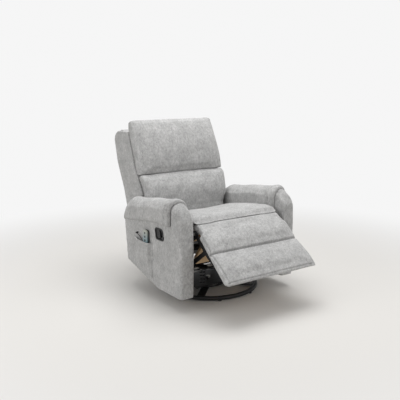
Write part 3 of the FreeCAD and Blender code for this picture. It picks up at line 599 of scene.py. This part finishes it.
def makeLumbarRoll():
    plan = lumbarRoll
    piece = copyOf("lumbar_cushion", "lumbarRoll")
    remesh(piece, plan["voxel"], smooth=1)
    places = points(piece)
    half, top = np.abs(places[:, 0]).max(), places[:, 2].max()
    edge = half - np.abs(places[:, 0])
    gap, forward = beforeWing(places)
    bulge = plan["topBulge"] * between(places[:, 2], plan["topFrom"], plan["topTo"])
    bulge = bulge * between(gap, 0.0, plan["bulgeReach"])
    places[:, 1:] += bulge[:, None] * forward
    rollBack(places, edge, plan["sideRoll"], plan["sideKeep"])
    rollBack(places, top - places[:, 2], plan["topRoll"], fullerEnds(plan["topKeep"], edge))
    across = np.abs(places[:, 0]) - (half - plan["corner"])
    rise = places[:, 2] - (top - plan["corner"])
    share = np.maximum(across, rise) / np.maximum(np.hypot(across, rise), 1e-9)
    share = np.where((across > 0) & (rise > 0), share, 1)
    places[:, 0] += np.sign(places[:, 0]) * across * (share - 1)
    places[:, 2] += rise * (share - 1)
    places[:, 0] *= 1 + plan["flare"] * between(places[:, 2], plan["flareFrom"], plan["flareTo"])
    drawInSides(places)
    stuff(piece, places, plan)
    settle(piece, "back", "lumbar_cushion")


# seat, full towards its sides, with a front lip that thins out over the round of the legrest

seatPad = {"voxel": 0.006, "inset": 0.003, "cap": 0.003, "sideCap": 0.001, "grow": 0.0, "fill": 0.8,
           "uneven": (0.0010, 0.17), "seed": 5, "sideReach": 0.045, "sideDrop": 0.008, "fullFrom": 0.10,
           "fullTo": 0.25, "fullRise": 0.009, "lipFrom": -0.240, "lipTo": -0.294, "lipDrop": 0.0135,
           "frontFrom": 0.02, "frontTo": 0.22, "frontRise": 0.004, "rearFrom": -0.02, "rearTo": 0.20,
           "rearDrop": 0.005, "barrel": 0.0503, "play": 0.0008, "slack": 0.004, "thinFrom": 0.256,
           "thinTo": 0.292, "thinning": 0.85}


def makeSeatPad():
    plan = seatPad
    piece = copyOf("seat_cushion", "seatPad")
    remesh(piece, plan["voxel"], smooth=2)
    places = points(piece)
    upward = upperShare(normals(piece)[:, 2])
    off, y = np.abs(places[:, 0]), places[:, 1]
    edge = off.max() - off
    places[:, 2] -= plan["sideDrop"] * np.clip(1 - edge / plan["sideReach"], 0, 1) ** 2 * upward
    places[:, 2] += plan["fullRise"] * between(off, plan["fullFrom"], plan["fullTo"]) * upward
    lip = np.clip((y - plan["lipFrom"]) / (plan["lipTo"] - plan["lipFrom"]), 0, 1)
    places[:, 2] -= plan["lipDrop"] * lip ** 2 * upward
    tilt = plan["frontRise"] * between(-y, plan["frontFrom"], plan["frontTo"])
    tilt = tilt - plan["rearDrop"] * between(y, plan["rearFrom"], plan["rearTo"])
    places[:, 2] += tilt * upward
    stuff(piece, places, plan, lambda p, n: (n[:, 2] < -0.3) | (n[:, 1] > 0.8))
    featherLip(piece)
    settle(piece, "seat", "seat_cushion")


def featherLip(piece):
    plan = seatPad
    places = points(piece)
    hingeY, hingeZ = legrestPad["hinge"]
    under = hingeZ + np.sqrt(np.maximum(plan["barrel"] ** 2 - (places[:, 1] - hingeY) ** 2, 1e-6))
    height = places[:, 2] - under
    thin = 1 - plan["thinning"] * between(-places[:, 1], plan["thinFrom"], plan["thinTo"])
    near = (places[:, 1] < -plan["thinFrom"]) & (height > -plan["slack"])
    laid = under + plan["play"] + np.maximum(0, height - plan["play"]) * thin
    places[:, 2] = np.where(near, laid, places[:, 2])
    setPoints(piece, places)


# legrest, in its own level frame: u runs towards the hinge from the free end, w stands up from the board

legrestPad = {"hinge": (-0.279, 0.416), "slope": math.radians(38.7), "voxel": 0.006, "inset": 0.003,
              "cap": 0.007, "sideCap": 0.001, "grow": 0.01, "fill": 0.8, "uneven": (0.0009, 0.15), "seed": 6,
              "sideReach": 0.035, "sideDrop": 0.006, "barrelFrom": -0.015,
              "liftFrom": 0.340, "liftTo": 0.368, "endLift": 0.015, "liftBelow": (0.020, 0.040),
              "riseFrom": 0.22, "riseTo": 0.36, "endRise": 0.006, "riseAbove": (0.025, 0.045),
              "flareFrom": 0.10, "flareTo": 0.36, "flare": 0.034,
              "cadCrease": -0.188, "crease": -0.168, "creaseShift": 0.020, "shiftReach": 0.09,
              "creaseDepth": 0.006, "creaseWidth": 0.007, "creaseHold": 0.004, "creasePinch": 0.6,
              "pinchReach": 0.011, "lineDepth": 0.003, "lineWidth": 0.003, "linePucker": 0.0008,
              "border": 0.012, "borderDepth": 0.0050, "borderWidth": 0.0032, "borderPucker": 0.0005,
              "stitchInset": 0.0055, "stitchEnd": -0.02}
legrestOver, legrestLean = math.cos(legrestPad["slope"]), math.sin(legrestPad["slope"])


def legrestPlace(places):
    y, z = places[..., 1] - legrestPad["hinge"][0], places[..., 2] - legrestPad["hinge"][1]
    return y * legrestOver + z * legrestLean, z * legrestOver - y * legrestLean


def legrestUp(outward):
    return outward[..., 2] * legrestOver - outward[..., 1] * legrestLean


def pinchCrease(piece):
    # brings the two lips of the middle crease together
    places = points(piece)
    off = legrestPlace(places)[0] - legrestPad["crease"]
    shift = -off * legrestPad["creasePinch"] * np.exp(-(off / legrestPad["pinchReach"]) ** 2)
    shift = shift * between(legrestUp(normals(piece)), 0, 0.3)
    places[:, 1] += shift * legrestOver
    places[:, 2] += shift * legrestLean
    setPoints(piece, places)


def shapeLegrest(piece):
    # sides rounded down, a lifted free end, the crease moved up and the pad wider towards its end
    plan = legrestPad
    places = points(piece)
    u, w = legrestPlace(places)
    off = np.abs(places[:, 0])
    edge = np.clip(1 - (off.max() - off) / plan["sideReach"], 0, 1) ** 2
    drop = plan["sideDrop"] * edge * upperShare(legrestUp(normals(piece)))
    lift = plan["endLift"] * between(-u, plan["liftFrom"], plan["liftTo"])
    rise = plan["endRise"] * between(-u, plan["riseFrom"], plan["riseTo"])
    drop = drop - lift * (1 - between(w, *plan["liftBelow"])) - rise * between(w, *plan["riseAbove"])
    shift = plan["creaseShift"] * np.exp(-((u - plan["cadCrease"]) / plan["shiftReach"]) ** 2)
    places[:, 1] += drop * legrestLean + shift * legrestOver
    places[:, 2] += shift * legrestLean - drop * legrestOver
    places[:, 0] *= 1 + plan["flare"] * between(-u, plan["flareFrom"], plan["flareTo"])
    setPoints(piece, places)
    return np.abs(places[:, 0]).max() - plan["border"], u.min() + plan["border"]


def makeLegrestPad():
    plan = legrestPad
    piece = copyOf("legrest_pad", "legrestPad")
    remesh(piece, plan["voxel"], smooth=2)
    sideSeam, endSeam = shapeLegrest(piece)

    def overCrease(p):
        return np.abs(legrestPlace(p)[0] - plan["crease"])

    def overBorder(p):
        u, x = legrestPlace(p)[0], np.abs(p[:, 0])
        besideSide = np.hypot(x - sideSeam, np.maximum(0, endSeam - u))
        besideEnd = np.hypot(u - endSeam, np.maximum(0, x - sideSeam))
        return np.minimum(besideSide, besideEnd)

    def above(p, n):
        return between(legrestUp(n), 0.0, 0.5)

    def held(p, n):
        inCrease = (overCrease(p) < plan["creaseHold"]) & (legrestUp(n) > 0.3)
        return inCrease | (legrestPlace(p)[0] > plan["barrelFrom"]) | (legrestUp(n) < -0.5)

    pullIn(piece, overCrease, plan["creaseDepth"], plan["creaseWidth"], above)
    swell(piece, plan, held)
    unsettle(piece, plan["uneven"], plan["seed"])
    finer(piece)
    pinchCrease(piece)
    pullIn(piece, overCrease, plan["lineDepth"], plan["lineWidth"], above, plan["linePucker"])
    pullIn(piece, overBorder, plan["borderDepth"], plan["borderWidth"], above, plan["borderPucker"])
    settle(piece, "legrest", "legrest_pad")
    sewLegrest(piece, sideSeam - plan["stitchInset"], endSeam + plan["stitchInset"])


def sewLegrest(piece, sideRow, endRow):
    # a row of stitches inside the border seam, along both sides and the free end
    foot, out = Vector((0,) + legrestPad["hinge"]), Vector((0, legrestOver, legrestLean))

    def onTop(n):
        return n.z * legrestOver - n.y * legrestLean > 0.5

    for side in (-1, 1):
        sewLine(piece, "legrest", (side * sideRow, 0, 0), (1, 0, 0),
                lambda p, n: onTop(n) and endRow < (p - foot).dot(out) < legrestPad["stitchEnd"])
    sewLine(piece, "legrest", foot + out * endRow, out, lambda p, n: onTop(n) and abs(p.x) < sideRow)


# arms: covered sides with a leaning head, and a pad that saddles the top with a band round its front

armCover = {"voxel": 0.007, "uneven": (0.0009, 0.20), "fill": 0.9, "leanFrom": 0.49, "leanTo": 0.600,
            "lean": 0.040, "frontFrom": -0.305, "frontTo": -0.200, "headFrom": 0.40, "headTo": 0.58,
            "headFoot": 0.43, "headMiddle": 0.358, "headShrink": 0.12, "headDrop": 0.070,
            "collarFrom": -0.262, "collarTo": -0.236}
armPad = {"voxel": 0.005, "inset": 0.002, "cap": 0.006, "sideCap": 0.003, "grow": 0.0, "fill": 0.8,
          "uneven": (0.0009, 0.15), "band": 0.030, "endRound": 0.008, "bandDepth": 0.0040,
          "bandWidth": 0.0060, "bandPucker": 0.0006, "middle": 0.355, "spring": 0.53,
          "seamReach": 0.010, "seamDepth": 0.007,
          "seamAt": (-0.219, -0.181, 0.001, 0.151, 0.251, 0.303),
          "seamHeight": (0.458, 0.457, 0.448, 0.424, 0.408, 0.400),
          "innerReach": 0.020, "innerBand": 0.08, "innerFrom": 0.320, "innerTo": 0.400,
          "stitchGap": 0.009, "stitchAbove": 0.44}
armRear = {"from": 0.205, "to": 0.303, "drop": 0.026, "above": 0.42, "fade": 0.06}


def slopeRear(places):
    # the back end of the arm falls away
    fall = np.clip((places[:, 1] - armRear["from"]) / (armRear["to"] - armRear["from"]), 0, 1) ** 1.6
    high = between(places[:, 2], armRear["above"], armRear["above"] + armRear["fade"])
    places[:, 2] -= armRear["drop"] * fall * high


def makeArmCover(side, seed):
    plan = armCover
    node = "arm_cover_" + side.lower()
    piece = copyOf(node, "armCover" + side)
    remesh(piece, plan["voxel"], smooth=4)
    places = points(piece)
    lean = between(places[:, 2], plan["leanFrom"], plan["leanTo"])
    lean = lean * (1 - between(places[:, 1], plan["frontFrom"], plan["frontTo"]))
    places[:, 1] += plan["lean"] * lean
    head = between(places[:, 2], plan["headFrom"], plan["headTo"])
    head = head * (1 - between(places[:, 1], plan["collarFrom"], plan["collarTo"]))
    middle = np.sign(places[:, 0]) * plan["headMiddle"]
    places[:, 0] += (middle - places[:, 0]) * plan["headShrink"] * head
    places[:, 2] -= (places[:, 2] - plan["headFoot"]) * plan["headDrop"] * head
    slopeRear(places)
    setPoints(piece, places)
    unsettle(piece, plan["uneven"], seed)
    finer(piece)
    settle(piece, "chassis", node)


def makeArmPad(side, seed):
    plan = armPad
    node = "arm_pad_" + side.lower()
    piece = copyOf(node, "armPad" + side)
    remesh(piece, plan["voxel"], smooth=3)
    swell(piece, plan)
    places, outward = points(piece), normals(piece)
    flank, off = np.sign(places[:, 0]), np.abs(places[:, 0])
    front = places[:, 1].min()
    radial = np.stack([off - plan["middle"], np.maximum(0, places[:, 2] - plan["spring"])], axis=1)
    radial /= np.maximum(np.linalg.norm(radial, axis=1), 1e-6)[:, None]
    outer = between(flank * outward[:, 0] * radial[:, 0] + outward[:, 2] * radial[:, 1], -0.3, 0.3)
    t = np.clip((places[:, 1] - front) / plan["band"], 0, 1)
    sink = plan["endRound"] * (1 - np.sqrt(1 - (1 - t) ** 2)) * outer
    lowEdge = np.interp(places[:, 1], plan["seamAt"], plan["seamHeight"])
    tuck = np.clip(1 - (places[:, 2] - lowEdge) / plan["seamReach"], 0, 1) ** 2
    sink = sink + plan["seamDepth"] * tuck * outer
    places[:, 0] -= flank * radial[:, 0] * sink
    places[:, 2] -= radial[:, 1] * sink
    ahead = 1 - between(places[:, 1], front, front + plan["innerBand"])
    ahead = ahead * (1 - between(np.abs(places[:, 0]), plan["innerFrom"], plan["innerTo"]))
    places[:, 1] -= plan["innerReach"] * ahead
    slopeRear(places)
    setPoints(piece, places)
    unsettle(piece, plan["uneven"], seed)
    finer(piece)
    seam = front + plan["band"]
    pullIn(piece, lambda p: np.abs(p[:, 1] - seam), plan["bandDepth"], plan["bandWidth"],
           pucker=plan["bandPucker"], along=2)
    settle(piece, "chassis", node)
    sewLine(piece, "chassis", (0, seam + plan["stitchGap"], 0), (0, 1, 0),
            lambda p, n: n.z > -0.2 and p.z > plan["stitchAbove"])


# upholstered shell of the back, and the skirt behind the mechanism

plainShells = {
    "backWings": {"node": "back_sides", "body": "back", "voxel": 0.0045, "smooth": 3, "seed": 20},
    "outsideBack": {"node": "back_panel", "body": "back", "voxel": 0.0055, "smooth": 2, "seed": 21},
    "rearValance": {"node": "rear_valance", "body": "chassis", "voxel": 0.005, "smooth": 2, "seed": 22},
}
shellCloth = {"uneven": (0.0005, 0.18), "fill": 0.9}
wingFill = {"from": 0.545, "to": 0.72, "swell": 0.012, "top": 0.90, "topShare": 0.5, "inner": 0.279,
            "outer": 0.293}


def fillWings(piece):
    # padding on the outer face, above the arms
    places = points(piece)
    face = between(np.abs(places[:, 0]), wingFill["inner"], wingFill["outer"])
    rise = between(places[:, 2], wingFill["from"], wingFill["to"])
    fade = np.clip((places[:, 2] - wingFill["to"]) / (wingFill["top"] - wingFill["to"]), 0, 1)
    rise = rise * (1 - (1 - wingFill["topShare"]) * fade)
    places[:, 0] += np.sign(places[:, 0]) * wingFill["swell"] * face * rise
    setPoints(piece, places)


def makeShells():
    for name, plan in plainShells.items():
        piece = copyOf(plan["node"], name)
        remesh(piece, plan["voxel"], plan["smooth"])
        if name == "backWings":
            fillWings(piece)
        unsettle(piece, shellCloth["uneven"], plan["seed"])
        settle(piece, plan["body"], plan["node"])


# cover cloth drawn round the lower ends of the plywood sides of the back

frameWrap = {"inner": 0.2538, "outer": 0.2756, "round": 0.004,
             "outline": ((0.2788, 0.3428), (0.4130, 0.3428), (0.4810, 0.5480), (0.2895, 0.5480),
                         (0.2788, 0.4800))}


def makeFrameWrap():
    plan = frameWrap
    shape = bmesh.new()
    for side in (-1, 1):
        rim = [shape.verts.new((side * plan["inner"], y, z)) for y, z in plan["outline"]]
        grown = bmesh.ops.extrude_face_region(shape, geom=[shape.faces.new(rim)])["geom"]
        raised = [v for v in grown if isinstance(v, bmesh.types.BMVert)]
        bmesh.ops.translate(shape, vec=(side * (plan["outer"] - plan["inner"]), 0, 0), verts=raised)
    bmesh.ops.recalc_face_normals(shape, faces=shape.faces[:])
    mesh = bpy.data.meshes.new("frameWrap")
    shape.to_mesh(mesh)
    shape.free()
    mesh.materials.append(cloth)
    piece = addObject("frameWrap", mesh)
    fold = piece.modifiers.new("fold", "BEVEL")
    fold.width, fold.segments = plan["round"], 3
    takeModifiers(piece)
    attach(piece, "back")


# patch pocket, sewn flat at both ends and bellied round the handset

patchPocket = {"front": -0.022, "rear": 0.180, "wall": -0.4006, "mouth": 0.325, "footFront": 0.123,
               "footRear": 0.153, "footRound": 0.085, "thick": 0.0024, "belly": 0.0216, "lowBelly": 0.76,
               "bellyFrom": 0.20, "bellyTo": 0.24, "swellTo": 0.002, "lowSwellTo": 0.018, "swellFrom": 0.088,
               "lowFrom": 0.185, "lowTo": 0.235, "sag": 0.05, "sagWaves": (9, 3), "hem": 0.017,
               "hemRise": 0.0011, "hemEdge": 0.002, "hemEnd": 0.03, "columns": 84, "rows": 84,
               "hemRow": 9, "rimRow": 3}


def pocketGrid():
    plan = patchPocket
    u, v = np.meshgrid(np.linspace(0, 1, plan["columns"] + 1), np.linspace(0, 1, plan["rows"] + 1))
    y = plan["front"] + u * (plan["rear"] - plan["front"])
    foot = plan["footFront"] + u * (plan["footRear"] - plan["footFront"])
    z = foot + v * (plan["mouth"] - foot)
    upper = between(z, plan["lowFrom"], plan["lowTo"])
    rise = plan["lowSwellTo"] + (plan["swellTo"] - plan["lowSwellTo"]) * upper
    belly = between(y, plan["front"], rise) * (1 - between(y, plan["swellFrom"], plan["rear"]))
    belly = belly * np.sin(0.5 * math.pi * np.clip((z - foot) / plan["footRound"], 0, 1)) ** 0.8
    full = between(z, plan["bellyFrom"], plan["bellyTo"])
    belly = belly * (plan["lowBelly"] + (1 - plan["lowBelly"]) * full)
    waveU, waveV = plan["sagWaves"]
    sag = 1 + plan["sag"] * np.sin(waveU * u + waveV * v) * np.sin(math.pi * v)
    lift = plan["belly"] * np.maximum(belly, belly * sag)
    hemLine = plan["mouth"] - plan["hem"]
    hem = plan["hemRise"] * between(z, hemLine - plan["hemEdge"], hemLine + plan["hemEdge"])
    lift = lift + hem * between(u, 0.0, plan["hemEnd"])
    return np.stack([plan["wall"] - lift, y, z], axis=-1)


def sewPocket(grid):
    # along the hem, the foot and both ends
    spots, runs = stitchRows.setdefault("chassis", ([], []))
    step = patchPocket["rimRow"]
    rims = [(patchPocket["rows"] - patchPocket["hemRow"], slice(step, -step)), (step, slice(step, -step)),
            (slice(step, None), step), (slice(step, None), -step - 1)]
    for rim in rims:
        line, first = grid[rim], len(spots)
        spots.extend((x - 0.5 * patchPocket["thick"] - threadLift, y, z) for x, y, z in line)
        runs.extend((first + i, first + i + 1) for i in range(len(line) - 1))


def makePocket():
    plan = patchPocket
    grid, wide = pocketGrid(), plan["columns"] + 1
    faces = [(r * wide + c, (r + 1) * wide + c, (r + 1) * wide + c + 1, r * wide + c + 1)
             for r in range(plan["rows"]) for c in range(plan["columns"])]
    mesh = bpy.data.meshes.new("patchPocket")
    mesh.from_pydata([tuple(p) for p in grid.reshape(-1, 3)], [], faces)
    mesh.materials.append(cloth)
    piece = addObject("patchPocket", mesh)
    sewPocket(grid)
    wall = piece.modifiers.new("cloth", "SOLIDIFY")
    wall.thickness, wall.offset = plan["thick"], 0
    takeModifiers(piece)
    piece.data.shade_smooth()
    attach(piece, "chassis")
    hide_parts("side_pocket")


makeCoils()
makeHeadPillow()
makeLumbarRoll()
makeSeatPad()
makeLegrestPad()
for side, seed in (("Left", 7), ("Right", 9)):
    makeArmCover(side, seed)
    makeArmPad(side, seed + 1)
makeShells()
makeFrameWrap()
makePocket()
print("upholstery made")


# stitches, as one node tree that runs along each body's seam lines

stitchLook = {"Pitch": 0.0075, "Stitch Length": 0.0050, "Thread Width": 0.0012}
stitchBead = {"Segments": 6, "Rings": 4, "Radius": 0.5}


def stitchTree():
    tree = bpy.data.node_groups.new("threadStitches", "GeometryNodeTree")
    sockets = [("Seam", "Geometry")] + [(label, "Float") for label in stitchLook] + [("Thread", "Material")]
    for label, kind in sockets:
        tree.interface.new_socket(label, in_out="INPUT", socket_type="NodeSocket" + kind)
    tree.interface.new_socket("Stitches", in_out="OUTPUT", socket_type="NodeSocketGeometry")
    given = addNode(tree, "NodeGroupInput").outputs
    line = addNode(tree, "GeometryNodeMeshToCurve", [(given["Seam"], "Mesh")])
    beads = addNode(tree, "GeometryNodeResampleCurve",
                    [(line.outputs[0], "Curve"), (given["Pitch"], "Length")], mode="LENGTH")
    loop = addNode(tree, "GeometryNodeMeshUVSphere", values=stitchBead)
    width = given["Thread Width"]
    shape = addNode(tree, "ShaderNodeCombineXYZ", [(given["Stitch Length"], "X"), (width, "Y"), (width, "Z")])
    way = addNode(tree, "GeometryNodeInputTangent")
    turn = addNode(tree, "FunctionNodeAlignRotationToVector", [(way.outputs[0], "Vector")], axis="X")
    rows = addNode(tree, "GeometryNodeInstanceOnPoints",
                   [(beads.outputs[0], "Points"), (loop.outputs[0], "Instance"),
                    (turn.outputs[0], "Rotation"), (shape.outputs[0], "Scale")])
    real = addNode(tree, "GeometryNodeRealizeInstances", [(rows.outputs[0], "Geometry")])
    dyed = addNode(tree, "GeometryNodeSetMaterial",
                   [(real.outputs[0], "Geometry"), (given["Thread"], "Material")])
    addNode(tree, "NodeGroupOutput", [(dyed.outputs[0], 0)])
    return tree


def grow(name, tree, spots, runs, values):
    # a mesh of points and edges goes through a node tree and comes back as a plain mesh
    mesh = bpy.data.meshes.new(name)
    mesh.from_pydata(spots, runs, [])
    piece = addObject(name, mesh)
    step = piece.modifiers.new("grow", "NODES")
    step.node_group = tree
    for item in tree.interface.items_tree:
        if item.in_out == "INPUT" and item.name in values:
            step[item.identifier] = values[item.name]
    takeModifiers(piece)
    piece.data.shade_smooth()
    return piece


def makeStitches():
    tree = stitchTree()
    for body, (spots, runs) in stitchRows.items():
        piece = grow("stitches_" + body, tree, spots, runs, dict(stitchLook, Thread=threadGrey))
        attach(piece, body)
        print(piece.name, len(piece.data.polygons), "faces")


makeStitches()
